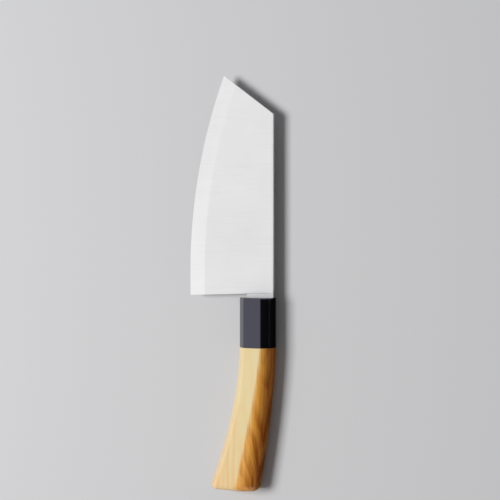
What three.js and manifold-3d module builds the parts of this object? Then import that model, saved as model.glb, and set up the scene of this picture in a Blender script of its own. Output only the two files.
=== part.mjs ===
// A kitchen cleaver: a ground steel blade with a hidden tang, a black moulded ferrule and a curved wooden
// handle, held together by epoxy. Sizes are in millimetres.
//
// The pieces are drawn about the point where the handle's axis meets the ferrule's front face, in the blade's
// middle plane. +X points from the cutting edge to the spine, +Y from the butt to the tip, and +Z out of the
// side that faces up when the knife lies down. At the end the group moves so that its origin is the bottom
// centre of its box.

import * as THREE from "three";
import { mergeVertices } from "three/addons/utils/BufferGeometryUtils.js";
import Module from "manifold-3d";

const wasm = await Module();
wasm.setup();

// Blade
const BLADE_LENGTH = 162; // ferrule to tip
const BLADE_HEIGHT = 68; // spine to cutting edge at the heel
const BLADE_THICKNESS = 2;
const CLIP_LENGTH = 30; // the slanting cut from spine to tip, measured along the blade
const TIP_DROP = 40; // spine to tip, measured across the blade
const EDGE_STRAIGHT = 20; // from the ferrule's face to where the cutting edge begins to curve
const EDGE_THICKNESS = 0.3;
const BEVEL_WIDTH = 12.5; // the ground band along the cutting edge
const HEEL_DROP = 1.7; // the heel's corner lies this much nearer the ferrule than its root

// Neck and tang, ground thinner than the blade
const NECK_LENGTH = 2.7; // gap between heel and ferrule
const NECK_HEIGHT = 21;
const TANG_LENGTH = 88; // behind the ferrule's face
const TANG_WIDTH = 9.5;
const TANG_END_WIDTH = 7;
const TANG_THICKNESS = 1.6;
const KEY_HOLE_DIAMETER = 4; // holes that let the epoxy grip the tang
const KEY_HOLE_SPACING = 20;
const KEY_HOLE_COUNT = 2;

// Ferrule and handle, which share one eight-sided section where they meet
const GRIP_HEIGHT = 25.4;
const GRIP_THICKNESS = 20;
const FACET_WIDTH = 6.1; // each corner facet, measured across the blade
const FACET_DEPTH = 6.1; // and through the thickness
const FERRULE_LENGTH = 36;
const FERRULE_WALL = 2.4;
const FERRULE_FRONT = 4; // front wall, which the tang passes through
const FERRULE_RIM = 0.8; // rounding of the front rim

// Handle behind the ferrule
const HANDLE_LENGTH = 104;
const SPINE_DROP = 12.4; // how far the back sweeps down by the butt
const SPINE_SWEEP = 1.55; // power of the sweep: 1 is a straight line, 2 a parabola
const BELLY_DROP = 24.7; // how far the underside sweeps down by the butt
const BELLY_SWEEP = 1.75;
const BUTT_FACET_WIDTH = 15.3; // the back's facets widen to this at the butt
const JOINT_CROWN = 0.9; // how far the back's facets bulge at the ferrule
const BUTT_CROWN = 1.8; // and at the butt
const BUTT_RADIUS = 4; // rounding of the butt's rim

// Joints
const SLOT_CLEARANCE = 0.25; // around the tang where it passes the ferrule's front wall
const BOND_LINE = 0.4; // thickness of the epoxy between tenon and ferrule
const BORE_MARGIN = 3; // depth of the bore beyond the tang's end

// Fineness of the curves
const EDGE_STEPS = 24;
const SWEEP_STEPS = 22;
const RIM_STEPS = 4;
const ROUND_SIDES = 32;
const OVERLAP = 1; // cutters and joined pieces run this far past the face where they meet

const SPINE_X = GRIP_HEIGHT / 2;
const EDGE_X = SPINE_X - BLADE_HEIGHT;
const TIP_X = SPINE_X - TIP_DROP;
const TENON_FRONT_Y = -FERRULE_FRONT - BOND_LINE;
const BORE_END_Y = -TANG_LENGTH - BORE_MARGIN;
const SLOT_WIDTH = TANG_WIDTH + 2 * SLOT_CLEARANCE;
const SLOT_THICKNESS = TANG_THICKNESS + 2 * SLOT_CLEARANCE;
const BORE_RADIUS = Math.hypot(SLOT_WIDTH, SLOT_THICKNESS) / 2 + BOND_LINE;

const steel = new THREE.MeshStandardMaterial({ color: 0xd6d7da, roughness: 0.3, metalness: 1 });
const blackPlastic = new THREE.MeshStandardMaterial({ color: 0x0a0a0c, roughness: 0.18, metalness: 0 });
const paleWood = new THREE.MeshStandardMaterial({ color: 0xd9a45c, roughness: 0.4, metalness: 0 });
const epoxy = new THREE.MeshStandardMaterial({ color: 0xc8b383, roughness: 0.5, metalness: 0 });

/** A closed geometry as a solid that can be joined and cut. */
function solid(geometry) {
  geometry.deleteAttribute("normal");
  geometry.deleteAttribute("uv");
  const merged = mergeVertices(geometry);
  return new wasm.Manifold(
    new wasm.Mesh({
      numProp: 3,
      vertProperties: merged.attributes.position.array,
      triVerts: new Uint32Array(merged.index.array),
    }),
  );
}

/** A named mesh of a solid. */
function piece(name, shape, material) {
  const { vertProperties, triVerts } = shape.getMesh();
  const geometry = new THREE.BufferGeometry();
  geometry.setAttribute("position", new THREE.BufferAttribute(vertProperties, 3));
  geometry.setIndex(new THREE.BufferAttribute(triVerts, 1));
  geometry.computeVertexNormals();
  const mesh = new THREE.Mesh(geometry, material);
  mesh.name = name;
  return mesh;
}

/** A flat plate of an outline in the blade's plane, as thick on one side of the plane as on the other. */
function plate(outline, thickness) {
  const options = { depth: thickness, bevelEnabled: false, curveSegments: EDGE_STEPS };
  return solid(new THREE.ExtrudeGeometry(outline, options).translate(0, 0, -thickness / 2));
}

/** A bar whose section, given as points of x and z, runs from one y back to a lower one. */
function bar(section, frontY, backY) {
  const options = { depth: frontY - backY, bevelEnabled: false };
  const upright = new THREE.ExtrudeGeometry(new THREE.Shape(section), options);
  return solid(upright.rotateX(Math.PI / 2).translate(0, frontY, 0));
}

/** A closed skin, with flat caps, through rings that run anticlockwise seen from the last one. */
function loft(rings) {
  const count = rings[0].length;
  const lastRing = (rings.length - 1) * count;
  const faces = [];
  for (let start = 0; start < lastRing; start += count) {
    for (let i = 0; i < count; i += 1) {
      const here = start + i;
      const next = start + ((i + 1) % count);
      faces.push(here, next, next + count, here, next + count, here + count);
    }
  }
  for (let i = 1; i < count - 1; i += 1) {
    faces.push(0, i + 1, i, lastRing, lastRing + i, lastRing + i + 1);
  }
  const geometry = new THREE.BufferGeometry().setFromPoints(rings.flat());
  return solid(geometry.setIndex(faces));
}

/** A convex section drawn in by the same distance on every side. */
function drawnIn(section, distance) {
  const lines = section.map((point, i) => {
    const along = section[(i + 1) % section.length].clone().sub(point).normalize();
    const inward = new THREE.Vector2(-along.y, along.x);
    return { point: point.clone().addScaledVector(inward, distance), along };
  });
  return lines.map((line, i) => {
    const before = lines[(i + lines.length - 1) % lines.length];
    const reach = before.point.clone().sub(line.point).cross(before.along) / line.along.cross(before.along);
    return line.point.clone().addScaledVector(line.along, reach);
  });
}

/** The section's points of x and z as a ring at one y. */
function ring(section, y) {
  return section.map((point) => new THREE.Vector3(point.x, y, point.y));
}

/**
 * The grip's section at a share of the handle's length, 0 at the ferrule and 1 at the butt: two flats, four
 * corner facets and two narrow sides. The back's facets bulge, and grow wider and bulge more towards the butt.
 */
function gripSection(share) {
  const back = GRIP_HEIGHT / 2 - SPINE_DROP * share ** SPINE_SWEEP;
  const belly = -GRIP_HEIGHT / 2 - BELLY_DROP * share ** BELLY_SWEEP;
  const flat = GRIP_THICKNESS / 2;
  const side = flat - FACET_DEPTH;
  const backFacet = THREE.MathUtils.lerp(FACET_WIDTH, BUTT_FACET_WIDTH, share);
  const facetLength = Math.hypot(backFacet, FACET_DEPTH);
  const crown = THREE.MathUtils.lerp(JOINT_CROWN, BUTT_CROWN, share);
  const crownX = back - backFacet / 2 + (crown * FACET_DEPTH) / facetLength;
  const crownZ = flat - FACET_DEPTH / 2 + (crown * backFacet) / facetLength;
  const lower = [
    [belly, -side],
    [belly + FACET_WIDTH, -flat],
    [back - backFacet, -flat],
    [crownX, -crownZ],
    [back, -side],
  ];
  const upper = lower.map(([x, z]) => [x, -z]).reverse();
  return [...lower, ...upper].map(([x, z]) => new THREE.Vector2(x, z));
}

const jointSection = gripSection(0);

/** The tang's slot through the ferrule's front wall, as a section. */
function slotSection() {
  const x = SLOT_WIDTH / 2;
  const z = SLOT_THICKNESS / 2;
  return [
    new THREE.Vector2(-x, -z),
    new THREE.Vector2(x, -z),
    new THREE.Vector2(x, z),
    new THREE.Vector2(-x, z),
  ];
}

/** The round bore for the tang, from one y back to its blind end. */
function bore(frontY) {
  const length = frontY - BORE_END_Y;
  const cylinder = new THREE.CylinderGeometry(BORE_RADIUS, BORE_RADIUS, length, ROUND_SIDES);
  return solid(cylinder.translate(0, frontY - length / 2, 0));
}

/** The tenon on the handle's front, from its end face back to one y. */
function tenon(backY) {
  return bar(drawnIn(jointSection, FERRULE_WALL + BOND_LINE), TENON_FRONT_Y, backY);
}

/** The cutting edge's curve: an arc that leaves the straight stretch smoothly and ends at the tip. */
function edgeArc() {
  const across = TIP_X - EDGE_X;
  const along = BLADE_LENGTH - EDGE_STRAIGHT;
  const radius = (across ** 2 + along ** 2) / (2 * across);
  return { radius, x: EDGE_X + radius, y: EDGE_STRAIGHT, tipAngle: Math.atan2(along, across - radius) };
}

/** The blade's outline from its root, along the spine to the tip and back along the edge to the heel. */
function bladeOutline() {
  const arc = edgeArc();
  return new THREE.Shape()
    .moveTo(SPINE_X - NECK_HEIGHT, NECK_LENGTH)
    .lineTo(SPINE_X, NECK_LENGTH)
    .lineTo(SPINE_X, BLADE_LENGTH - CLIP_LENGTH)
    .lineTo(TIP_X, BLADE_LENGTH)
    .absarc(arc.x, arc.y, arc.radius, arc.tipAngle, Math.PI, false)
    .lineTo(EDGE_X, NECK_LENGTH - HEEL_DROP);
}

/** What grinding takes off one side: a wedge that follows the edge from past the heel to past the tip. */
function bevelCutter(side) {
  const arc = edgeArc();
  const rise = (BLADE_THICKNESS - EDGE_THICKNESS) / 2 / BEVEL_WIDTH;
  const outerZ = EDGE_THICKNESS / 2 - rise * OVERLAP;
  const topZ = BLADE_THICKNESS / 2 + rise * OVERLAP;
  const tipPast = arc.tipAngle - BEVEL_WIDTH / arc.radius;
  const wedgeAt = (x, y, angle) => {
    const outward = new THREE.Vector3(Math.cos(angle), Math.sin(angle), 0);
    const at = (reach, z) => new THREE.Vector3(x, y, side * z).addScaledVector(outward, reach);
    const corners = [at(OVERLAP, topZ), at(-BEVEL_WIDTH - OVERLAP, topZ), at(OVERLAP, outerZ)];
    return side > 0 ? corners : corners.reverse();
  };
  const stations = [wedgeAt(EDGE_X, -OVERLAP, Math.PI)];
  for (let i = 0; i <= EDGE_STEPS; i += 1) {
    const angle = THREE.MathUtils.lerp(Math.PI, tipPast, i / EDGE_STEPS);
    const x = arc.x + arc.radius * Math.cos(angle);
    const y = arc.y + arc.radius * Math.sin(angle);
    stations.push(wedgeAt(x, y, angle));
  }
  return loft(stations);
}

/** The thinner plate behind the blade: the neck, its shoulders and the tapering tang with its key holes. */
function tangOutline() {
  const root = TANG_WIDTH / 2;
  const end = TANG_END_WIDTH / 2;
  const outline = new THREE.Shape()
    .moveTo(SPINE_X - NECK_HEIGHT, NECK_LENGTH + OVERLAP)
    .lineTo(SPINE_X - NECK_HEIGHT, 0)
    .lineTo(-root, 0)
    .lineTo(-end, end - TANG_LENGTH)
    .absarc(0, end - TANG_LENGTH, end, Math.PI, 2 * Math.PI, false)
    .lineTo(root, 0)
    .lineTo(SPINE_X, 0)
    .lineTo(SPINE_X, NECK_LENGTH + OVERLAP);
  for (let i = 1; i <= KEY_HOLE_COUNT; i += 1) {
    const hole = new THREE.Path();
    hole.absarc(0, i * KEY_HOLE_SPACING - TANG_LENGTH, KEY_HOLE_DIAMETER / 2, 0, 2 * Math.PI, true);
    outline.holes.push(hole);
  }
  return outline;
}

const tang = plate(tangOutline(), TANG_THICKNESS);

function blade() {
  const ground = plate(bladeOutline(), BLADE_THICKNESS).subtract(bevelCutter(1)).subtract(bevelCutter(-1));
  return piece("blade", ground.add(tang), steel);
}

function ferrule() {
  const rings = [];
  for (let i = 0; i <= RIM_STEPS; i += 1) {
    const turn = (i / RIM_STEPS) * (Math.PI / 2);
    const inset = FERRULE_RIM * (1 - Math.sin(turn));
    rings.push(ring(drawnIn(jointSection, inset), FERRULE_RIM * (Math.cos(turn) - 1)));
  }
  rings.push(ring(jointSection, -FERRULE_LENGTH));
  const socket = bar(drawnIn(jointSection, FERRULE_WALL), -FERRULE_FRONT, -FERRULE_LENGTH - OVERLAP);
  const slot = bar(slotSection(), OVERLAP, -FERRULE_FRONT - OVERLAP);
  return piece("ferrule", loft(rings).subtract(socket).subtract(slot), blackPlastic);
}

function handle() {
  const roundingShare = BUTT_RADIUS / HANDLE_LENGTH;
  const buttY = -FERRULE_LENGTH - HANDLE_LENGTH;
  const rings = [];
  for (let i = 0; i <= SWEEP_STEPS; i += 1) {
    const share = (i / SWEEP_STEPS) * (1 - roundingShare);
    rings.push(ring(gripSection(share), -FERRULE_LENGTH - share * HANDLE_LENGTH));
  }
  for (let i = 1; i <= RIM_STEPS; i += 1) {
    const turn = (i / RIM_STEPS) * (Math.PI / 2);
    const share = 1 - roundingShare * (1 - Math.sin(turn));
    const inset = BUTT_RADIUS * (1 - Math.cos(turn));
    rings.push(ring(drawnIn(gripSection(share), inset), buttY + BUTT_RADIUS * (1 - Math.sin(turn))));
  }
  const body = loft(rings).add(tenon(-FERRULE_LENGTH - OVERLAP));
  return piece("handle", body.subtract(bore(TENON_FRONT_Y + OVERLAP)), paleWood);
}

/** Epoxy between the tenon and the ferrule's socket, open where the tang passes. */
function ferruleAdhesive() {
  const socket = bar(drawnIn(jointSection, FERRULE_WALL), -FERRULE_FRONT, -FERRULE_LENGTH);
  const slot = bar(slotSection(), 0, TENON_FRONT_Y - OVERLAP);
  return piece("ferrule_adhesive", socket.subtract(tenon(-FERRULE_LENGTH - OVERLAP)).subtract(slot), epoxy);
}

/** Epoxy around the tang, which fills the bore, the slot and the tang's key holes. */
function tangAdhesive() {
  const slotFill = bar(slotSection(), 0, TENON_FRONT_Y - OVERLAP);
  return piece("tang_adhesive", bore(TENON_FRONT_Y).add(slotFill).subtract(tang), epoxy);
}

const cleaver = new THREE.Group();
cleaver.add(blade(), ferrule(), handle(), ferruleAdhesive(), tangAdhesive());

const box = new THREE.Box3().setFromObject(cleaver);
const middle = box.getCenter(new THREE.Vector3());
cleaver.position.set(-middle.x, -middle.y, -box.min.z);

export default cleaver;
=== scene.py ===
"""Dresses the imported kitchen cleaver: a satin blade, a glossy black ferrule and a lacquered handle.

Sizes are in metres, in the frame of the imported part: +X points from the cutting edge to the spine, +Y from
the butt to the tip and +Z up from the floor. Surfaces are worked out about the middle of the ferrule's
front face, and put where the frame has that point.
"""

import math

import bpy
import numpy as np
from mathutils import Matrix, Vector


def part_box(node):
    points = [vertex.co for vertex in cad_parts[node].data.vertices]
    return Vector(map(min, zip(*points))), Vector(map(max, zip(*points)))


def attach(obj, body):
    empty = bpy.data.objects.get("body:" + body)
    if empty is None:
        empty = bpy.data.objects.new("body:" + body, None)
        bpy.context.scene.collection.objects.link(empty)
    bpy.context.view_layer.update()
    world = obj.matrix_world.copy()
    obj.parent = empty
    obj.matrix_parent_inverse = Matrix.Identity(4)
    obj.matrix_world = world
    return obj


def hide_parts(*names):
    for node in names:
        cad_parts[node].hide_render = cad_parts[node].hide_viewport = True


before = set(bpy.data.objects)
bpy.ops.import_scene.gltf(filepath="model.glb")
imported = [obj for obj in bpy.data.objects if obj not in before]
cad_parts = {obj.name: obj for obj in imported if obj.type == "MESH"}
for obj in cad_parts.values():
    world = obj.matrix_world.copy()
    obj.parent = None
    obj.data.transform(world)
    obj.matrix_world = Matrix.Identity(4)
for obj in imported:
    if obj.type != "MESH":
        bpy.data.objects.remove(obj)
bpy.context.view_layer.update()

bl_info = {
    "name": "Kitchen cleaver",
    "version": (1, 0, 0),
    "blender": (4, 5, 0),
    "location": "3D View > Sidebar > Cleaver",
    "description": "Dresses a kitchen cleaver's blade, ferrule and handle, and sets its stage",
    "category": "Object",
}

MM = 0.001
BODY = "root"

# Where the frame has the pieces
BLADE_LOW, BLADE_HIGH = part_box("blade")
FERRULE_LOW, FERRULE_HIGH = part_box("ferrule")
HANDLE_LOW, HANDLE_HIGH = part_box("handle")
BORE_LOW, BORE_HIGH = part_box("tang_adhesive")
ORIGIN = np.array((FERRULE_LOW + FERRULE_HIGH) / 2)
ORIGIN[1] = FERRULE_HIGH.y
EDGE_X = BLADE_LOW.x - ORIGIN[0]
SPINE_X = BLADE_HIGH.x - ORIGIN[0]
TIP_Y = BLADE_HIGH.y - ORIGIN[1]
TANG_END_Y = BLADE_LOW.y - ORIGIN[1]
HALF_GRIP = (FERRULE_HIGH.x - FERRULE_LOW.x) / 2
HALF_GRIP_THICKNESS = (FERRULE_HIGH.z - FERRULE_LOW.z) / 2
JOINT_Y = FERRULE_LOW.y - ORIGIN[1]
TENON_FRONT_Y = HANDLE_HIGH.y - ORIGIN[1]
BUTT_Y = HANDLE_LOW.y - ORIGIN[1]
BORE_END_Y = BORE_LOW.y - ORIGIN[1]
BORE_RADIUS = (BORE_HIGH.x - BORE_LOW.x) / 2

# Numbers of points along and across the surfaces
ALONG_BLADE = 150
ACROSS_BEVEL = 10
ACROSS_FLAT = 24
ALONG_FERRULE = 24
ALONG_HANDLE = 130
RIM_STEPS = 8
RIDGE_STEPS = 6

# Shares of the way along a section's side, across a bulging facet, and from the butt's middle to its rim
SIDE_STEPS = (0.04, 0.25, 0.5, 0.75, 0.96)
CROWN_STEPS = (0.25, 0.5, 0.75)
BUTT_STEPS = (0.7, 0.4)

# Arcs at a section's corners: the share of a side that one may take, and the smallest radius
ARC_ROOM = 0.49
LEAST_RADIUS = 0.1 * MM

# The number of the section's corner at the back's lower ridge
RIDGE_CORNER = 2

# Faces that meet at more than this angle keep a crisp edge
SHARP_ANGLE = math.radians(40)

# Grains of each pattern in a millimetre, along x, y and z
STEEL_LINES = (0.05, 5.0, 0.05)
STEEL_HAZE = (0.03, 0.03, 0.03)
PLASTIC_RIPPLE = (0.35, 0.35, 0.35)
PLASTIC_GLOSS = (0.06, 0.06, 0.06)
WOOD_BEND = (0.06, 0.015, 0.06)
WOOD_FIBRES = (2.2, 0.05, 2.2)
WOOD_STREAKS = (0.8, 0.012, 0.8)
WOOD_PORES = (5.0, 0.25, 5.0)
WOOD_PATCHES = (0.12, 0.012, 0.12)
EPOXY_CLOUDS = (0.15, 0.15, 0.15)
EPOXY_BUBBLES = (3.0, 3.0, 3.0)

# How deep the patterns are in the surface
LINE_DEPTH = 0.006 * MM
RIPPLE_DEPTH = 0.004 * MM
FIBRE_DEPTH = 0.03 * MM
BUBBLE_DEPTH = 0.05 * MM

# Growth of the wood in millimetres: the pith's x and z at both ends, and a band's width and bend
PITH_AT_JOINT = np.array([-3.2, -8.4])
PITH_AT_BUTT = np.array([-13.2, 0.0])
BAND_WIDTH = 1.3
BAND_BEND = 5.0

# Where the steel changes, in millimetres: either side of the bevel's border, and ahead of the ferrule, where
# the painted highlight on the bevel fades away towards the tip
BEVEL_BORDER = 0.4
BEVEL_HIGHLIGHT_FADE = (10.0, 130.0)

# Where the wood changes, in millimetres: twice behind the joint, and once behind the back's ridge, where the
# painted shade on the back begins
WARM_WOOD = (45.0, 105.0)
DARK_BANDS = (20.0, 90.0)
GOLDEN_SHADE = (-0.3, 2.8)

# How much of the back's golden colour, which is painted shade, the butt's end loses
END_PALENESS = 0.75

# The dark mat's height over the floor; the mat is seen only in reflections, so the dark that the spine's
# side reflects there is a painted reflection
MAT_LIFT = 0.5 * MM


class BladeSettings(bpy.types.PropertyGroup):
    """Sizes and colours of the blade, its neck and its tang."""

    thickness: bpy.props.FloatProperty(
        name="Thickness",
        description="Thickness of the blade above its bevel",
        default=BLADE_HIGH.z - BLADE_LOW.z,
        unit="LENGTH",
    )
    clip_length: bpy.props.FloatProperty(
        name="Clip length",
        description="Slanting cut from spine to tip, measured along the blade",
        default=30 * MM,
        unit="LENGTH",
    )
    tip_drop: bpy.props.FloatProperty(
        name="Tip drop",
        description="Spine to tip, measured across the blade",
        default=40 * MM,
        unit="LENGTH",
    )
    edge_straight: bpy.props.FloatProperty(
        name="Straight edge",
        description="From the ferrule to where the cutting edge begins to curve",
        default=20 * MM,
        unit="LENGTH",
    )
    edge_thickness: bpy.props.FloatProperty(
        name="Edge thickness",
        description="Thickness that the ground bevel runs out to",
        default=0.3 * MM,
        unit="LENGTH",
    )
    bevel_width: bpy.props.FloatProperty(
        name="Bevel width",
        description="Width of the ground band along the cutting edge",
        default=12.5 * MM,
        unit="LENGTH",
    )
    honed_width: bpy.props.FloatProperty(
        name="Honed width",
        description="Width of the fine sharpened line on the cutting edge",
        default=0.7 * MM,
        unit="LENGTH",
    )
    honed_thickness: bpy.props.FloatProperty(
        name="Honed thickness",
        description="Thickness left at the very edge",
        default=0.05 * MM,
        unit="LENGTH",
    )
    heel_drop: bpy.props.FloatProperty(
        name="Heel drop",
        description="How much nearer the ferrule the heel's corner lies than its root",
        default=1.7 * MM,
        unit="LENGTH",
    )
    neck_length: bpy.props.FloatProperty(
        name="Neck length",
        description="Gap between the heel's root and the ferrule",
        default=2.7 * MM,
        unit="LENGTH",
    )
    neck_height: bpy.props.FloatProperty(
        name="Neck height",
        description="Neck from the spine towards the edge",
        default=21 * MM,
        unit="LENGTH",
    )
    tang_width: bpy.props.FloatProperty(
        name="Tang width",
        description="Width of the hidden tang at the ferrule",
        default=9.5 * MM,
        unit="LENGTH",
    )
    tang_end_width: bpy.props.FloatProperty(
        name="Tang end width",
        description="Width of the hidden tang at its end",
        default=7 * MM,
        unit="LENGTH",
    )
    tang_thickness: bpy.props.FloatProperty(
        name="Tang thickness",
        description="Thickness of the neck and the tang",
        default=1.6 * MM,
        unit="LENGTH",
    )
    easing: bpy.props.FloatProperty(
        name="Easing",
        description="Rounding of the spine, the heel and the clip",
        default=0.25 * MM,
        unit="LENGTH",
    )
    flat_colour: bpy.props.FloatVectorProperty(
        name="Flat",
        description="Colour of the satin steel on the blade's flat",
        default=(0.905, 0.895, 0.905),
        subtype="COLOR",
    )
    bevel_colour: bpy.props.FloatVectorProperty(
        name="Bevel",
        description="Colour of the finer ground steel on the bevel",
        default=(0.96, 0.955, 0.965),
        subtype="COLOR",
    )


class GripSettings(bpy.types.PropertyGroup):
    """Sizes and colours of the ferrule, the handle and the epoxy in them."""

    facet_width: bpy.props.FloatProperty(
        name="Facet width",
        description="Corner facet of the section, measured across the blade",
        default=6.1 * MM,
        unit="LENGTH",
    )
    facet_depth: bpy.props.FloatProperty(
        name="Facet depth",
        description="Corner facet of the section, measured through the thickness",
        default=6.1 * MM,
        unit="LENGTH",
    )
    ridge_radius: bpy.props.FloatProperty(
        name="Ridge radius",
        description="Rounding of the ridges between facets on the ferrule",
        default=3 * MM,
        unit="LENGTH",
    )
    butt_ridge_radius: bpy.props.FloatProperty(
        name="Butt ridge radius",
        description="Rounding of the ridges between facets at the butt",
        default=4 * MM,
        unit="LENGTH",
    )
    ferrule_wall: bpy.props.FloatProperty(
        name="Ferrule wall",
        description="Wall around the ferrule's socket",
        default=2.4 * MM,
        unit="LENGTH",
    )
    ferrule_front: bpy.props.FloatProperty(
        name="Ferrule front",
        description="Front wall that the tang passes through",
        default=4 * MM,
        unit="LENGTH",
    )
    ferrule_rim: bpy.props.FloatProperty(
        name="Ferrule rim",
        description="Rounding of the ferrule's front rim",
        default=0.8 * MM,
        unit="LENGTH",
    )
    slot_clearance: bpy.props.FloatProperty(
        name="Slot clearance",
        description="Room around the tang in the ferrule's front wall",
        default=0.25 * MM,
        unit="LENGTH",
    )
    bond_line: bpy.props.FloatProperty(
        name="Bond line",
        description="Thickness of the epoxy between the tenon and the ferrule",
        default=0.4 * MM,
        unit="LENGTH",
    )
    joint_easing: bpy.props.FloatProperty(
        name="Joint easing",
        description="Rounding of the two rims where ferrule and wood meet",
        default=0.25 * MM,
        unit="LENGTH",
    )
    back_drop: bpy.props.FloatProperty(
        name="Back drop",
        description="How far the handle's back sweeps down by the butt",
        default=12.4 * MM,
        unit="LENGTH",
    )
    back_sweep: bpy.props.FloatProperty(
        name="Back sweep",
        description="Power of the back's sweep: 1 is a straight line and 2 a parabola",
        default=1.55,
    )
    belly_drop: bpy.props.FloatProperty(
        name="Belly drop",
        description="How far the handle's belly sweeps down by the butt",
        default=24.7 * MM,
        unit="LENGTH",
    )
    belly_sweep: bpy.props.FloatProperty(
        name="Belly sweep",
        description="Power of the belly's sweep: 1 is a straight line and 2 a parabola",
        default=1.75,
    )
    butt_facet_width: bpy.props.FloatProperty(
        name="Butt facet width",
        description="Width of the back's facets at the butt",
        default=15.3 * MM,
        unit="LENGTH",
    )
    joint_crown: bpy.props.FloatProperty(
        name="Joint crown",
        description="How far the back's facets bulge at the ferrule",
        default=0.9 * MM,
        unit="LENGTH",
    )
    butt_crown: bpy.props.FloatProperty(
        name="Butt crown",
        description="How far the back's facets bulge at the butt",
        default=1.8 * MM,
        unit="LENGTH",
    )
    butt_radius: bpy.props.FloatProperty(
        name="Butt radius",
        description="Rounding of the butt's rim",
        default=4 * MM,
        unit="LENGTH",
    )
    plastic_colour: bpy.props.FloatVectorProperty(
        name="Plastic",
        description="Colour of the ferrule's plastic",
        default=(0.004, 0.004, 0.005),
        subtype="COLOR",
    )
    pale_wood_colour: bpy.props.FloatVectorProperty(
        name="Pale wood",
        description="Colour of the wood on the flats",
        default=(0.73, 0.605, 0.325),
        subtype="COLOR",
    )
    warm_wood_colour: bpy.props.FloatVectorProperty(
        name="Warm wood",
        description="Colour of the warm streaks on the flats",
        default=(0.76, 0.485, 0.22),
        subtype="COLOR",
    )
    # The golden back colour is painted shade on the back's facets, which face away from the lamp
    golden_shade_colour: bpy.props.FloatVectorProperty(
        name="Back wood",
        description="Colour of the deeper wood along the back",
        default=(0.86, 0.41, 0.065),
        subtype="COLOR",
    )
    # The dark bands are grain; the same colour also paints the shade that deepens towards the back's side
    late_wood_and_shade_colour: bpy.props.FloatVectorProperty(
        name="Late wood",
        description="Colour of the dark bands of growth along the back",
        default=(0.30, 0.07, 0.005),
        subtype="COLOR",
    )
    epoxy_colour: bpy.props.FloatVectorProperty(
        name="Epoxy",
        description="Colour of the cured epoxy",
        default=(0.56, 0.45, 0.23),
        subtype="COLOR",
    )


class StageSettings(bpy.types.PropertyGroup):
    """Camera, light and floor."""

    camera_turn: bpy.props.FloatProperty(
        name="Camera turn",
        description="How far the camera leans from overhead towards the spine's side",
        default=math.radians(26),
        subtype="ANGLE",
    )
    camera_distance: bpy.props.FloatProperty(
        name="Camera distance",
        description="From the camera to the point that it looks at",
        default=0.87,
        unit="LENGTH",
    )
    camera_aim: bpy.props.FloatVectorProperty(
        name="Camera aim",
        description="Point that the camera looks at, from the middle of the ferrule's front face",
        default=(-6.15 * MM, 34.33 * MM, 0),
        subtype="TRANSLATION",
    )
    lens: bpy.props.FloatProperty(
        name="Lens",
        description="Focal length in millimetres, for a sensor 36 mm wide",
        default=86.4,
    )
    lamp_turn: bpy.props.FloatProperty(
        name="Lamp turn",
        description="How far the lamp leans from overhead towards the cutting edge's side",
        default=math.radians(30),
        subtype="ANGLE",
    )
    lamp_distance: bpy.props.FloatProperty(
        name="Lamp distance",
        description="From the lamp to the knife",
        default=2.2,
        unit="LENGTH",
    )
    lamp_size: bpy.props.FloatProperty(
        name="Lamp size",
        description="Side of the square lamp",
        default=1.0,
        unit="LENGTH",
    )
    lamp_power: bpy.props.FloatProperty(
        name="Lamp power",
        description="Power of the lamp in watts",
        default=48,
    )
    ambient: bpy.props.FloatProperty(
        name="Ambient",
        description="Strength of the white surroundings as diffuse light",
        default=0.22,
    )
    floor_colour: bpy.props.FloatVectorProperty(
        name="Floor",
        description="Colour of the floor",
        default=(0.57, 0.57, 0.58),
        subtype="COLOR",
    )
    floor_reach: bpy.props.FloatProperty(
        name="Floor reach",
        description="From the knife to each side of the floor",
        default=4.0,
        unit="LENGTH",
    )
    # The screen and the mat are seen only in reflections: their dark colour paints dark reflections on the
    # spine's side
    dark_colour: bpy.props.FloatVectorProperty(
        name="Dark",
        description="Colour of the screen and the mat that the spine's side reflects",
        default=(0.02, 0.02, 0.02),
        subtype="COLOR",
    )
    screen_foot: bpy.props.FloatVectorProperty(
        name="Screen foot",
        description="How far out on the spine's side, and how high, the dark screen begins",
        size=2,
        default=(1.4, 0),
        unit="LENGTH",
    )
    screen_top: bpy.props.FloatVectorProperty(
        name="Screen top",
        description="How far out on the spine's side, and how high, the dark screen ends",
        size=2,
        default=(0.3, 1.6),
        unit="LENGTH",
    )
    screen_ends: bpy.props.FloatVectorProperty(
        name="Screen ends",
        description="How far along the knife the dark screen begins and ends",
        size=2,
        default=(-0.75, 0.2),
        unit="LENGTH",
    )
    mat_sides: bpy.props.FloatVectorProperty(
        name="Mat sides",
        description="How far out on the spine's side the dark mat begins and ends",
        size=2,
        default=(15 * MM, 400 * MM),
        unit="LENGTH",
    )
    mat_ends: bpy.props.FloatVectorProperty(
        name="Mat ends",
        description="How far along the knife the dark mat begins and ends",
        size=2,
        default=(-170 * MM, -8 * MM),
        unit="LENGTH",
    )


class Value:
    """A shader socket in Python arithmetic: each operation on it adds a Math node to its tree."""

    def __init__(self, nodes, socket):
        self.nodes = nodes
        self.socket = socket

    def math(self, operation, *operands):
        """A Math node on some operands."""
        return self.nodes.add("ShaderNodeMath", {"operation": operation}, dict(enumerate(operands)))

    def __add__(self, other):
        return self.math("ADD", self, other)

    def __radd__(self, other):
        return self.math("ADD", other, self)

    def __sub__(self, other):
        return self.math("SUBTRACT", self, other)

    def __rsub__(self, other):
        return self.math("SUBTRACT", other, self)

    def __mul__(self, other):
        return self.math("MULTIPLY", self, other)

    def __rmul__(self, other):
        return self.math("MULTIPLY", other, self)

    def __pow__(self, other):
        return self.math("POWER", self, other)

    def ramp(self, low, high):
        """0 up to low, 1 from high on, and a smooth step in between."""
        sockets = {"Value": self, "From Min": low, "From Max": high}
        return self.nodes.add("ShaderNodeMapRange", {"interpolation_type": "SMOOTHSTEP"}, sockets)


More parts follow.
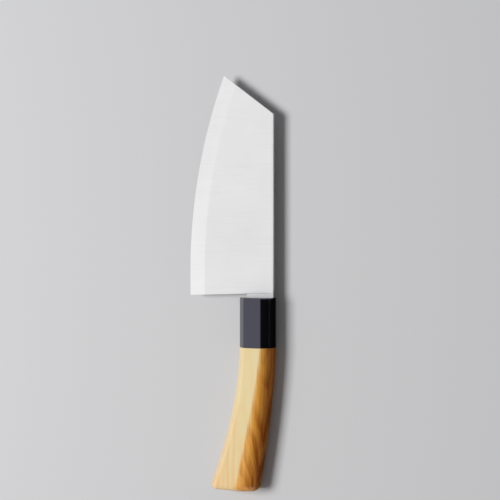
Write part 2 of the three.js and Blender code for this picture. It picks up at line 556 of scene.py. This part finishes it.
class Nodes:
    """A node tree in the making."""

    def __init__(self, tree):
        self.tree = tree

    def add(self, kind, settings=None, sockets=None, output=0):
        """Adds a node of a kind, sets its settings and then its sockets, and returns an output.

        A socket goes by its name or its number, and takes a Value or a plain number, vector or colour.
        """
        node = self.tree.nodes.new(kind)
        for name, setting in (settings or {}).items():
            setattr(node, name, setting)
        for name, value in (sockets or {}).items():
            self.feed(self.pick(node.inputs, name), value)
        return Value(self, self.pick(node.outputs, output))

    def pick(self, sockets, name):
        """The socket that is in use under a name or at a number."""
        used = [socket for socket in sockets if socket.enabled]
        if isinstance(name, int):
            return used[name]
        return next(socket for socket in used if socket.name == name)

    def feed(self, socket, value):
        """Links a Value to a socket, or gives the socket a number, vector or colour of its own."""
        if isinstance(value, Value):
            self.tree.links.new(value.socket, socket)
        elif socket.type == "RGBA":
            socket.default_value = (*value, 1)
        else:
            socket.default_value = value


class Finish(Nodes):
    """A material in the making: its nodes and the shader that they feed."""

    def __init__(self, name):
        self.material = bpy.data.materials.new(name)
        self.material.use_nodes = True
        super().__init__(self.material.node_tree)
        self.shader = self.tree.nodes["Principled BSDF"]
        self.place = self.add("ShaderNodeTexCoord", output="Object")

    def set(self, name, value):
        """Feeds one of the shader's sockets."""
        self.feed(self.shader.inputs[name], value)

    def scaled(self, grains):
        """Object coordinates in millimetres, multiplied by the grains in a millimetre along each axis."""
        factors = tuple(grain / MM for grain in grains)
        return self.add("ShaderNodeVectorMath", {"operation": "MULTIPLY"}, {0: self.place, 1: factors})

    def axes(self):
        """Object coordinates in millimetres, a value for each axis."""
        split = self.add("ShaderNodeSeparateXYZ", None, {"Vector": self.scaled((1, 1, 1))})
        return [Value(self, socket) for socket in split.socket.node.outputs]

    def noise(self, grains, detail=2.0):
        """Noise from 0 to 1 with about so many grains in a millimetre along each axis."""
        sockets = {"Vector": self.scaled(grains), "Scale": 1.0, "Detail": detail}
        return self.add("ShaderNodeTexNoise", None, sockets)

    def attribute(self, name):
        """A number that the mesh holds at each point."""
        return self.add("ShaderNodeAttribute", {"attribute_name": name}, None, "Fac")

    def blend(self, share, first, second):
        """A colour on the way from the first to the second."""
        sockets = {"Factor": share, "A": first, "B": second}
        return self.add("ShaderNodeMix", {"data_type": "RGBA"}, sockets, "Result")

    def bump(self, height, distance):
        """A normal tipped by a height, whose 1 stands for a distance in metres."""
        sockets = {"Height": height, "Distance": distance, "Strength": 1.0}
        return self.add("ShaderNodeBump", None, sockets)


def darker(colour, share):
    """A colour with a share of its light taken away."""
    return tuple(channel * (1 - share) for channel in colour)


# In the finishes below, a number before a pattern is the share that the pattern has in the sum


def satin_steel(blade):
    """Steel ground across the blade: fine lines from spine to edge in colour, gloss and height, and a haze.

    The bevel, up to its width from the edge, is a paler and finer ground band that fades towards the tip.
    Its paleness near the heel, fading towards the tip, is a painted highlight.
    """
    finish = Finish("satin_steel")
    lines = finish.noise(STEEL_LINES, detail=4.0)
    haze = finish.noise(STEEL_HAZE)
    beyond_bevel = finish.attribute("edge_distance") - blade.bevel_width / MM
    forward = finish.axes()[1] - ORIGIN[1] / MM
    # The fade towards the tip paints a highlight on the bevel near the heel
    bevel = (1 - beyond_bevel.ramp(-BEVEL_BORDER, BEVEL_BORDER)) * (1 - 0.7 * forward.ramp(*BEVEL_HIGHLIGHT_FADE))
    wear = 0.20 * lines + 0.14 * haze
    ground = finish.blend(wear, blade.bevel_colour, darker(blade.bevel_colour, 0.5))
    rolled = finish.blend(wear, blade.flat_colour, darker(blade.flat_colour, 0.5))
    finish.set("Base Color", finish.blend(bevel, rolled, ground))
    finish.set("Metallic", 1.0)
    finish.set("Roughness", 0.40 - 0.06 * bevel + 0.18 * lines + 0.06 * haze)
    finish.set("Normal", finish.bump(lines, LINE_DEPTH))
    return finish.material


def glossy_plastic(grip):
    """Black moulded plastic: a faint ripple in its skin, and a gloss that changes from place to place."""
    finish = Finish("glossy_black_plastic")
    ripple = finish.noise(PLASTIC_RIPPLE)
    gloss = finish.noise(PLASTIC_GLOSS, detail=4.0)
    finish.set("Base Color", finish.blend(gloss, grip.plastic_colour, darker(grip.plastic_colour, 0.5)))
    finish.set("Roughness", 0.10 + 0.10 * gloss)
    finish.set("Specular IOR Level", 1.0)
    finish.set("Specular Tint", (0.74, 0.73, 1.0))
    finish.set("Coat Weight", 0.4)
    finish.set("Coat Roughness", 0.08)
    finish.set("Normal", finish.bump(ripple, RIPPLE_DEPTH))
    return finish.material


def lacquered_wood(grip):
    """Lacquered wood with bands of growth about the pith, a line that slants through the handle.

    A band's tone is noise along the distance from the pith, so bands differ in width and strength, and slow
    noise bends them. Fibres, pores and streaks run along the handle, and warm streaks gather near the butt.
    Behind the back's ridge the colour turns golden, with bands that grow darker towards the butt, and it
    deepens towards the back's side. The golden colour and the deepening are painted shade on the back's
    facets, which face away from the lamp; the bands are grain.
    """
    joint = np.array([ORIGIN[0], ORIGIN[2]]) / MM + PITH_AT_JOINT
    butt = np.array([ORIGIN[0], ORIGIN[2]]) / MM + PITH_AT_BUTT
    rise = (butt - joint) / ((JOINT_Y - BUTT_Y) / MM)
    finish = Finish("lacquered_wood")
    x, y, z = finish.axes()
    behind = (ORIGIN[1] + JOINT_Y) / MM - y
    off_x = x - joint[0] - rise[0] * behind
    off_z = z - joint[1] - rise[1] * behind
    distance = (off_x * off_x + off_z * off_z) ** 0.5 + BAND_BEND * finish.noise(WOOD_BEND)
    growth = {"W": distance, "Scale": 1 / BAND_WIDTH, "Detail": 3.0}
    bands = finish.add("ShaderNodeTexNoise", {"noise_dimensions": "1D"}, growth).ramp(0.36, 0.68)
    fibres = finish.noise(WOOD_FIBRES, detail=5.0)
    streaks = finish.noise(WOOD_STREAKS, detail=3.0).ramp(0.3, 0.7)
    pores = finish.noise(WOOD_PORES, detail=1.0).ramp(0.66, 0.74)
    patches = finish.noise(WOOD_PATCHES).ramp(0.3, 0.7)
    # Behind the back's ridge the colour turns golden: painted shade
    back = (finish.attribute("behind_ridge") + 1.5 * streaks).ramp(*GOLDEN_SHADE)
    end = finish.attribute("end_grain")
    glow = 0.8 * patches + 0.9 * behind.ramp(*WARM_WOOD)
    warmth = glow * streaks + (0.2 + 0.7 * end) * bands + 0.15 * pores
    pale = finish.blend(warmth, grip.pale_wood_colour, grip.warm_wood_colour)
    flame = 0.15 + 0.24 * behind.ramp(*DARK_BANDS)
    # Towards the back's side the colour deepens: painted shade, mixed below with the grain's bands
    side = finish.attribute("across_back").ramp(0.2, 1.0)
    grain_and_shade_depth = flame * bands + 0.6 * side + 0.2 * streaks + 0.2 * fibres - 0.05 + 0.2 * pores
    deep = finish.blend(grain_and_shade_depth, grip.golden_shade_colour, grip.late_wood_and_shade_colour)
    finish.set("Base Color", finish.blend(back, pale, deep))
    finish.set("Roughness", 0.36 + 0.1 * fibres)
    finish.set("Specular IOR Level", 0.05)
    finish.set("Coat Weight", 0.9)
    finish.set("Coat Roughness", 0.16)
    finish.set("Normal", finish.bump(fibres - 0.6 * pores, FIBRE_DEPTH))
    return finish.material


def cured_epoxy(grip):
    """Cured epoxy: amber with cloudy patches and tiny bubbles."""
    finish = Finish("cured_epoxy")
    cloud = finish.noise(EPOXY_CLOUDS, detail=3.0)
    bubbles = finish.noise(EPOXY_BUBBLES).ramp(0.68, 0.75)
    finish.set("Base Color", finish.blend(cloud, grip.epoxy_colour, darker(grip.epoxy_colour, 0.4)))
    finish.set("Roughness", 0.45 + 0.2 * cloud)
    finish.set("Normal", finish.bump(cloud - bubbles, BUBBLE_DEPTH))
    return finish.material


def plain_paint(name, colour):
    """An even matt paint for the stage."""
    finish = Finish(name)
    finish.set("Base Color", colour)
    finish.set("Roughness", 0.9)
    finish.set("Specular IOR Level", 0.0)
    return finish.material


def turned_out(polygon):
    """How each corner moves when the sides move out by 1, its two sides' normals, and its largest radius.

    A side's normal is its direction turned right, and a corner moves along the sum of its two normals.
    An arc takes its radius times the tangent of half the turn from both sides of its corner, so half a side
    limits it.
    """
    side = np.roll(polygon, -1, axis=-2) - polygon
    length = np.linalg.norm(side, axis=-1, keepdims=True)
    after = np.stack([side[..., 1], -side[..., 0]], axis=-1) / length
    before = np.roll(after, 1, axis=-2)
    cosine = (before * after).sum(axis=-1, keepdims=True)
    half_tangent = np.sqrt((1 - cosine) / (1 + cosine))
    largest = ARC_ROOM * np.minimum(length, np.roll(length, 1, axis=-2)) / half_tangent
    return (before + after) / (1 + cosine), before, after, largest


def softened(polygon, radius, inset):
    """A polygon in each row, with its sides drawn in by an inset and each corner rounded to its radius.

    Each corner is an arc that turns from the normal of one side to that of the next, and each side has
    points of its own between two arcs.
    """
    inset = np.asarray(inset)[:, None, None]
    move, before, after, largest = turned_out(polygon)
    radius = np.maximum(np.minimum(radius[..., None], largest) - inset, LEAST_RADIUS)
    middle = (polygon - (inset + radius) * move)[:, :, None]
    turn = np.linspace(0, 1, RIDGE_STEPS)[:, None]
    normal = (1 - turn) * before[:, :, None] + turn * after[:, :, None]
    normal = normal / np.linalg.norm(normal, axis=-1, keepdims=True)
    arc = middle + radius[..., None] * normal
    begin = arc[:, :, -1:]
    end = np.roll(arc[:, :, :1], -1, axis=1)
    side = begin + np.array(SIDE_STEPS)[:, None] * (end - begin)
    return np.concatenate([arc, side], axis=2).reshape(len(polygon), -1, 2)


def grip_section(y, grip):
    """Corners in x and z of the grip's eight-sided section at each y, anticlockwise from the belly's side.

    The grip is a straight prism up to the joint. Behind it, back and belly drop by powers of the share of
    the way to the butt. The back's facets bulge as parabolas. Towards the butt they grow wider and bulge
    more.
    """
    share = np.maximum(JOINT_Y - np.asarray(y), 0) / (JOINT_Y - BUTT_Y)
    back = HALF_GRIP - grip.back_drop * share**grip.back_sweep
    belly = -HALF_GRIP - grip.belly_drop * share**grip.belly_sweep
    ridge = back - grip.facet_width - (grip.butt_facet_width - grip.facet_width) * share
    flat = np.full_like(share, HALF_GRIP_THICKNESS)
    side = flat - grip.facet_depth
    step = np.array(CROWN_STEPS)[:, None]
    slope = np.hypot(back - ridge, grip.facet_depth)
    crown = grip.joint_crown + (grip.butt_crown - grip.joint_crown) * share
    bulge = 4 * step * (1 - step) * crown / slope
    crown_x = ridge + step * (back - ridge) + bulge * grip.facet_depth
    crown_z = flat - step * grip.facet_depth + bulge * (back - ridge)
    x = np.vstack([belly, belly + grip.facet_width, ridge, crown_x, back])
    z = np.vstack([side, flat, flat, crown_z, side])
    lower = np.stack([x, -z], axis=-1)
    upper = np.stack([x, z], axis=-1)[::-1]
    return np.concatenate([lower, upper]).swapaxes(0, 1)


def grip_rings(y, inset, grip):
    """Rings of the grip's softened section at each y, drawn in by an inset.

    The ridges grow rounder towards the butt, and the bulging facets' corners are as round as can be.
    """
    y = np.asarray(y, float)
    share = np.maximum(JOINT_Y - y, 0) / (JOINT_Y - BUTT_Y)
    section = grip_section(y, grip)
    ridge = grip.ridge_radius + (grip.butt_ridge_radius - grip.ridge_radius) * share
    radius = np.broadcast_to(ridge[:, None], section.shape[:2]).copy()
    first, count = RIDGE_CORNER + 1, len(CROWN_STEPS)
    radius[:, first:first + count] = radius[:, -first - count:-first] = math.inf
    return standing(softened(section, radius, inset), y)


def standing(section, y):
    """Rings of x, y and z from sections in x and z, one at each y."""
    y = np.broadcast_to(np.asarray(y, float)[:, None], section.shape[:2])
    return np.stack([section[..., 0], y, section[..., 1]], axis=-1)


def walls(numbers):
    """Four-sided faces between rows of point numbers, each row joined to the next all the way round."""
    here, there = numbers[:-1], numbers[1:]
    faces = np.stack([here, np.roll(here, -1, axis=1), np.roll(there, -1, axis=1), there], axis=-1)
    return faces.reshape(-1, 4).tolist()


def fan(ring, pole):
    """Three-sided faces from a pole to each step of a ring."""
    return np.stack([np.full_like(ring, pole), ring, np.roll(ring, -1)], axis=-1).tolist()


def zipped(ring):
    """Four-sided faces that close a flat ring, from its first half straight across to its second."""
    half = len(ring) // 2
    near, far = ring[:half], ring[: half - 1 : -1]
    return np.stack([near[:-1], far[:-1], far[1:], near[1:]], axis=-1).tolist()


def numbered(rings, start=0):
    """The numbers of rings of points, row by row."""
    return np.arange(start, start + rings.shape[0] * rings.shape[1]).reshape(rings.shape[:2])


def add_piece(name, points, faces, material, marks=None):
    """Makes a mesh about the ferrule's front face into a piece that rides on the knife.

    Marks are numbers at each point, by name, which a finish reads.
    """
    mesh = bpy.data.meshes.new(name)
    mesh.from_pydata((points + ORIGIN).tolist(), [], faces)
    mesh.shade_smooth()
    mesh.set_sharp_from_angle(angle=SHARP_ANGLE)
    for mark, values in (marks or {}).items():
        mesh.attributes.new(mark, "FLOAT", "POINT").data.foreach_set("value", values)
    mesh.materials.append(material)
    piece = bpy.data.objects.new(name, mesh)
    bpy.context.scene.collection.objects.link(piece)
    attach(piece, BODY)
    return piece


def eased(easing):
    """How far a quarter round steps in from two sides: away from the first, and down from the second."""
    quarter = np.linspace(0, math.pi / 2, RIM_STEPS)
    return easing * (1 - np.cos(quarter)), easing * (1 - np.sin(quarter))


def edge_columns(blade, along):
    """Distance from the cutting edge, x and y of the columns of points that follow it over the bevel.

    The edge is a straight stretch and then an arc that reaches the tip. A column keeps its distance from
    both, and runs from the heel's line to the clip's line, where its circle crosses that line.
    """
    tip = np.array([SPINE_X - blade.tip_drop, TIP_Y])
    clip = np.array([blade.tip_drop, -blade.clip_length])
    rise = tip[0] - EDGE_X
    reach = TIP_Y - blade.edge_straight
    radius = (rise**2 + reach**2) / (2 * rise)
    centre = np.array([EDGE_X + radius, blade.edge_straight])
    distance = np.append(0, np.linspace(blade.honed_width, blade.bevel_width, ACROSS_BEVEL))
    heel_slope = blade.heel_drop / (SPINE_X - blade.neck_height - EDGE_X)
    heel_y = blade.neck_length - blade.heel_drop + heel_slope * distance
    towards = (tip - centre) @ clip
    square = towards**2 - (clip @ clip) * (radius**2 - (radius - distance) ** 2)
    clip_y = tip[1] - clip[1] * (towards + np.sqrt(square)) / (clip @ clip)
    y = heel_y + along[:, None] * (clip_y - heel_y)
    x = centre[0] - np.sqrt((radius - distance) ** 2 - np.maximum(y - centre[1], 0) ** 2)
    return distance, x, y


def straight_columns(blade, x, along):
    """y of the straight columns of points that run from the neck to the clip's line at each x."""
    clip_y = TIP_Y - (x - SPINE_X + blade.tip_drop) * blade.clip_length / blade.tip_drop
    return blade.neck_length + along[:, None] * (clip_y - blade.neck_length)


def blade_rings(blade):
    """Rings round the blade's section from heel to clip, and each point's distance from the edge.

    Half the thickness grows with that distance, steeply on the honed line and then evenly over the bevel.
    Between the bevel and the root of the neck the columns of points pass evenly from curved to straight.
    Quarter rounds ease the spine, the heel and the clip.
    """
    half = blade.thickness / 2
    away, down = eased(blade.easing)
    along = np.linspace(0, 1, ALONG_BLADE)[1:-1]
    along = np.concatenate([away / TIP_Y, along, 1 - away[::-1] / TIP_Y])
    thin = np.concatenate([1 - down / half, np.ones(ALONG_BLADE - 2), 1 - down[::-1] / half])

    distance, bevel_x, bevel_y = edge_columns(blade, along)
    slope = (blade.thickness - blade.edge_thickness) / blade.bevel_width
    bevel_z = (blade.edge_thickness + slope * distance) / 2
    bevel_z[0] = blade.honed_thickness / 2

    root_x = SPINE_X - blade.neck_height
    spine_x = np.append(np.linspace(root_x, SPINE_X - blade.easing, ACROSS_FLAT), SPINE_X - down[1:])
    spine_y = straight_columns(blade, spine_x, along)
    spine_z = np.append(np.full(ACROSS_FLAT, half), half - away[1:])

    pass_over = np.linspace(0, 1, ACROSS_FLAT)[1:-1]
    flat_x = bevel_x[:, -1:] + pass_over * (root_x - bevel_x[:, -1:])
    flat_y = bevel_y[:, -1:] + pass_over * (spine_y[:, :1] - bevel_y[:, -1:])
    flat_z = np.full_like(pass_over, half)

    x = np.hstack([bevel_x, flat_x, np.broadcast_to(spine_x, spine_y.shape)])
    y = np.hstack([bevel_y, flat_y, spine_y])
    z = thin[:, None] * np.concatenate([bevel_z, flat_z, spine_z])
    beyond = blade.bevel_width + x[:, len(distance):] - bevel_x[:, -1:]
    edge_distance = np.hstack([np.broadcast_to(distance, bevel_x.shape), beyond])
    return plate_rings(x, y, z), np.hstack([edge_distance, edge_distance[:, ::-1]])


def tang_rings(blade):
    """Rings round the tang and the neck, from the tang's round end to just inside the blade.

    The tang widens evenly to the ferrule's front face, where it steps out to the neck. Quarter rounds ease
    its edges. The neck ends narrower inside the blade, so that no two sides lie on each other.
    """
    end = blade.tang_end_width / 2
    turn = np.linspace(0, math.pi / 2, RIM_STEPS + 1)[1:]
    round_y = TANG_END_Y + end * (1 - np.cos(turn))
    inside = 2 * blade.easing
    y = np.concatenate([round_y, [0, 0, blade.neck_length, blade.neck_length + inside]])
    widest = blade.tang_width / 2
    root_x = SPINE_X - blade.neck_height
    low = np.concatenate([-end * np.sin(turn), [-widest, root_x, root_x, root_x + inside]])[:, None]
    high = np.concatenate([end * np.sin(turn), [widest, SPINE_X, SPINE_X, SPINE_X - inside]])[:, None]
    away, down = eased(blade.easing)
    easing = np.minimum(1, (high - low) / (2 * blade.easing))
    x = np.hstack([low + easing * away, high - easing * away[::-1]])
    z = blade.tang_thickness / 2 - np.append(down, down[::-1])
    return plate_rings(x, np.broadcast_to(y[:, None], x.shape), np.broadcast_to(z, x.shape))


def plate_rings(x, y, z):
    """Rings that go across the upper side of a plate and back across its lower side."""
    upper = np.stack([x, y, z], axis=-1)
    lower = np.stack([x, y, -z], axis=-1)[:, ::-1]
    return np.concatenate([upper, lower], axis=1)


def plate_faces(numbers):
    """Faces of a plate from its rings' numbers: walls between the rings, and both ends zipped up."""
    return walls(numbers) + zipped(numbers[0]) + zipped(numbers[-1][::-1])


def ferrule_rings(grip):
    """Rings of the ferrule, from inside its slot over the front rim to the joint, and up its socket.

    The slot's ring has the section's points, each drawn to the slot's sides along its own direction.
    """
    front = -grip.ferrule_front
    rim_away, rim_down = eased(grip.ferrule_rim)
    joint_away, joint_down = eased(grip.joint_easing)
    side_y = np.linspace(-grip.ferrule_rim, JOINT_Y + grip.joint_easing, ALONG_FERRULE)[1:-1]
    y = np.concatenate([-rim_away, side_y, JOINT_Y + joint_down, [JOINT_Y, front]])
    inset = np.concatenate([rim_down, 0 * side_y, joint_away, [grip.ferrule_wall] * 2])
    outside = grip_rings(y, inset, grip)
    blade = bpy.context.scene.cleaver_blade
    direction = outside[0][:, [0, 2]]
    half = np.array([blade.tang_width, blade.tang_thickness]) / 2 + grip.slot_clearance
    slot = direction / np.abs(direction / half).max(axis=-1, keepdims=True)
    return np.concatenate([standing(np.stack([slot, slot]), [front, 0]), outside])


def handle_rings(grip):
    """Rings of the handle, from the bore's end out over the tenon to the joint, and on to the butt.

    The butt's rim is a quarter round, and its end closes in towards the middle.
    """
    joint_away, joint_down = eased(grip.joint_easing)
    butt_away, butt_down = eased(grip.butt_radius)
    sweep_y = np.linspace(JOINT_Y - grip.joint_easing, BUTT_Y + grip.butt_radius, ALONG_HANDLE)[1:-1]
    y = np.concatenate([[TENON_FRONT_Y, JOINT_Y], JOINT_Y - joint_away, sweep_y, BUTT_Y + butt_down])
    tenon = grip.ferrule_wall + grip.bond_line
    inset = np.concatenate([[tenon] * 2, joint_down, 0 * sweep_y, butt_away])
    outside = grip_rings(y, inset, grip)
    direction = outside[0][:, [0, 2]]
    bore = BORE_RADIUS * direction / np.linalg.norm(direction, axis=-1, keepdims=True)
    middle = outside[-1].mean(axis=0)
    closing = middle + np.array(BUTT_STEPS)[:, None, None] * (outside[-1] - middle)
    inside = standing(np.stack([bore, bore]), [BORE_END_Y, TENON_FRONT_Y])
    return np.concatenate([inside, outside, closing])


class BladePiece(bpy.types.Operator):
    """Makes the blade with its neck and its tang"""

    bl_idname = "cleaver.blade"
    bl_label = "Blade"

    def execute(self, context):
        blade = context.scene.cleaver_blade
        rings, edge_distance = blade_rings(blade)
        tang = tang_rings(blade)
        points = np.concatenate([rings.reshape(-1, 3), tang.reshape(-1, 3)])
        faces = plate_faces(numbered(rings)) + plate_faces(numbered(tang, rings[..., 0].size))
        beyond = np.full(tang[..., 0].size, 2 * blade.bevel_width)
        marks = {"edge_distance": np.append(edge_distance, beyond) / MM}
        piece = add_piece("satin_blade", points, faces, satin_steel(blade), marks)
        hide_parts("blade")
        return {"FINISHED"}


class FerrulePiece(bpy.types.Operator):
    """Makes the black ferrule"""

    bl_idname = "cleaver.ferrule"
    bl_label = "Ferrule"

    def execute(self, context):
        grip = context.scene.cleaver_grip
        rings = ferrule_rings(grip)
        numbers = numbered(rings)
        faces = walls(np.concatenate([numbers, numbers[:1]]))
        points = rings.reshape(-1, 3)
        piece = add_piece("black_ferrule", points, faces, glossy_plastic(grip))
        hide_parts("ferrule")
        return {"FINISHED"}


class HandlePiece(bpy.types.Operator):
    """Makes the wooden handle with its tenon and its bore"""

    bl_idname = "cleaver.handle"
    bl_label = "Handle"

    def execute(self, context):
        grip = context.scene.cleaver_grip
        rings = handle_rings(grip)
        numbers = numbered(rings)
        poles = rings[[0, -1]].mean(axis=1)
        points = np.concatenate([rings.reshape(-1, 3), poles])
        bore_end = fan(numbers[0][::-1], numbers.size)
        butt_end = fan(numbers[-1], numbers.size + 1)
        faces = walls(numbers) + bore_end + butt_end
        section = grip_section(points[:, 1], grip)[..., 0]
        ridge = section[:, RIDGE_CORNER]
        behind = points[:, 0] - ridge
        end = np.clip((BUTT_Y + grip.butt_radius - points[:, 1]) / grip.butt_radius, 0, 1)
        # behind_ridge and across_back drive the painted shade on the back, which the butt's end mostly loses
        marks = {
            "behind_ridge": behind / MM * (1 - END_PALENESS * end),
            "across_back": behind / (section.max(axis=1) - ridge) * (1 - end),
            "end_grain": end,
        }
        piece = add_piece("wooden_handle", points, faces, lacquered_wood(grip), marks)
        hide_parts("handle")
        return {"FINISHED"}


class EpoxyFinish(bpy.types.Operator):
    """Gives the hidden epoxy its finish"""

    bl_idname = "cleaver.epoxy"
    bl_label = "Epoxy"

    def execute(self, context):
        material = cured_epoxy(context.scene.cleaver_grip)
        for name in ("ferrule_adhesive", "tang_adhesive"):
            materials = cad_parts[name].data.materials
            materials.clear()
            materials.append(material)
        return {"FINISHED"}


def add_sheet(name, begin, end, ends, colour):
    """A flat part of the stage that goes from one x and z to another, between two ends in y."""
    (begin_x, begin_z), (end_x, end_z) = begin, end
    near, far = ends
    near_corners = [(begin_x, near, begin_z), (end_x, near, end_z)]
    far_corners = [(end_x, far, end_z), (begin_x, far, begin_z)]
    mesh = bpy.data.meshes.new(name)
    mesh.from_pydata(near_corners + far_corners, [], [(0, 1, 2, 3)])
    mesh.materials.append(plain_paint(name, colour))
    sheet = bpy.data.objects.new(name, mesh)
    bpy.context.scene.collection.objects.link(sheet)
    return sheet


def add_camera(stage):
    """A camera that leans from overhead towards the spine's side, with the tip up."""
    turn = stage.camera_turn
    camera = bpy.data.objects.new("camera", bpy.data.cameras.new("camera"))
    camera.data.lens = stage.lens
    camera.rotation_euler = (0, turn, 0)
    towards = np.array([math.sin(turn), 0, math.cos(turn)])
    camera.location = ORIGIN + np.array(stage.camera_aim) + stage.camera_distance * towards
    bpy.context.scene.collection.objects.link(camera)
    bpy.context.scene.camera = camera


def add_lamp(stage):
    """A square lamp that leans from overhead towards the cutting edge's side."""
    turn = stage.lamp_turn
    lamp = bpy.data.objects.new("lamp", bpy.data.lights.new("lamp", "AREA"))
    lamp.data.size = stage.lamp_size
    lamp.data.energy = stage.lamp_power
    lamp.rotation_euler = (0, -turn, 0)
    towards = np.array([-math.sin(turn), 0, math.cos(turn)])
    lamp.location = ORIGIN + np.array(stage.camera_aim) + stage.lamp_distance * towards
    lamp.visible_glossy = False
    bpy.context.scene.collection.objects.link(lamp)


def light_surroundings(stage):
    """White surroundings to the eye and in reflections, and a share of that as diffuse light."""
    world = bpy.data.worlds.new("surroundings")
    world.use_nodes = True
    nodes = Nodes(world.node_tree)
    seen = nodes.add("ShaderNodeLightPath", output="Is Camera Ray")
    for ray in ("Is Glossy Ray", "Is Transmission Ray"):
        seen = seen.math("MAXIMUM", seen, nodes.add("ShaderNodeLightPath", output=ray))
    background = world.node_tree.nodes["Background"]
    background.inputs["Color"].default_value = (1, 1, 1, 1)
    nodes.feed(background.inputs["Strength"], stage.ambient + (1 - stage.ambient) * seen)
    bpy.context.scene.world = world


class StageSet(bpy.types.Operator):
    """Sets the floor, the screen and mat that only reflections show, the light and the camera"""

    bl_idname = "cleaver.stage"
    bl_label = "Stage"

    def execute(self, context):
        stage = context.scene.cleaver_stage
        dark = stage.dark_colour
        reach = stage.floor_reach
        add_sheet("floor", (-reach, 0), (reach, 0), (-reach, reach), stage.floor_colour)
        # The dark screen and mat are seen only in reflections and paint dark reflections on the spine's side
        screen = add_sheet("dark_screen", stage.screen_foot, stage.screen_top, stage.screen_ends, dark)
        mat_begin, mat_end = ((side, MAT_LIFT) for side in stage.mat_sides)
        mat = add_sheet("dark_mat", mat_begin, mat_end, stage.mat_ends, dark)
        for sheet in (screen, mat):
            sheet.visible_camera = False
            sheet.visible_diffuse = False
            sheet.visible_shadow = False
        light_surroundings(stage)
        add_lamp(stage)
        add_camera(stage)
        context.scene.view_settings.view_transform = "Standard"
        return {"FINISHED"}


OPERATORS = (BladePiece, FerrulePiece, HandlePiece, EpoxyFinish, StageSet)


class CleaverPanel(bpy.types.Panel):
    """Lists the knife's pieces and their sizes"""

    bl_idname = "VIEW3D_PT_cleaver"
    bl_label = "Kitchen cleaver"
    bl_space_type = "VIEW_3D"
    bl_region_type = "UI"
    bl_category = "Cleaver"

    def draw(self, context):
        scene = context.scene
        for each in OPERATORS:
            self.layout.operator(each.bl_idname)
        for settings in (scene.cleaver_blade, scene.cleaver_grip, scene.cleaver_stage):
            box = self.layout.box()
            for name in settings.__annotations__:
                box.prop(settings, name)


CLASSES = (BladeSettings, GripSettings, StageSettings, *OPERATORS, CleaverPanel)


def register():
    """Makes the settings, the operators and the panel known to Blender."""
    for each in CLASSES:
        bpy.utils.register_class(each)
    bpy.types.Scene.cleaver_blade = bpy.props.PointerProperty(type=BladeSettings)
    bpy.types.Scene.cleaver_grip = bpy.props.PointerProperty(type=GripSettings)
    bpy.types.Scene.cleaver_stage = bpy.props.PointerProperty(type=StageSettings)


def unregister():
    """Takes the panel, the operators and the settings out of Blender again."""
    del bpy.types.Scene.cleaver_stage
    del bpy.types.Scene.cleaver_grip
    del bpy.types.Scene.cleaver_blade
    for each in reversed(CLASSES):
        bpy.utils.unregister_class(each)


def main():
    """Makes the pieces and the stage in order."""
    register()
    bpy.ops.cleaver.blade()
    bpy.ops.cleaver.ferrule()
    bpy.ops.cleaver.handle()
    bpy.ops.cleaver.epoxy()
    bpy.ops.cleaver.stage()


if __name__ == "__main__":
    main()
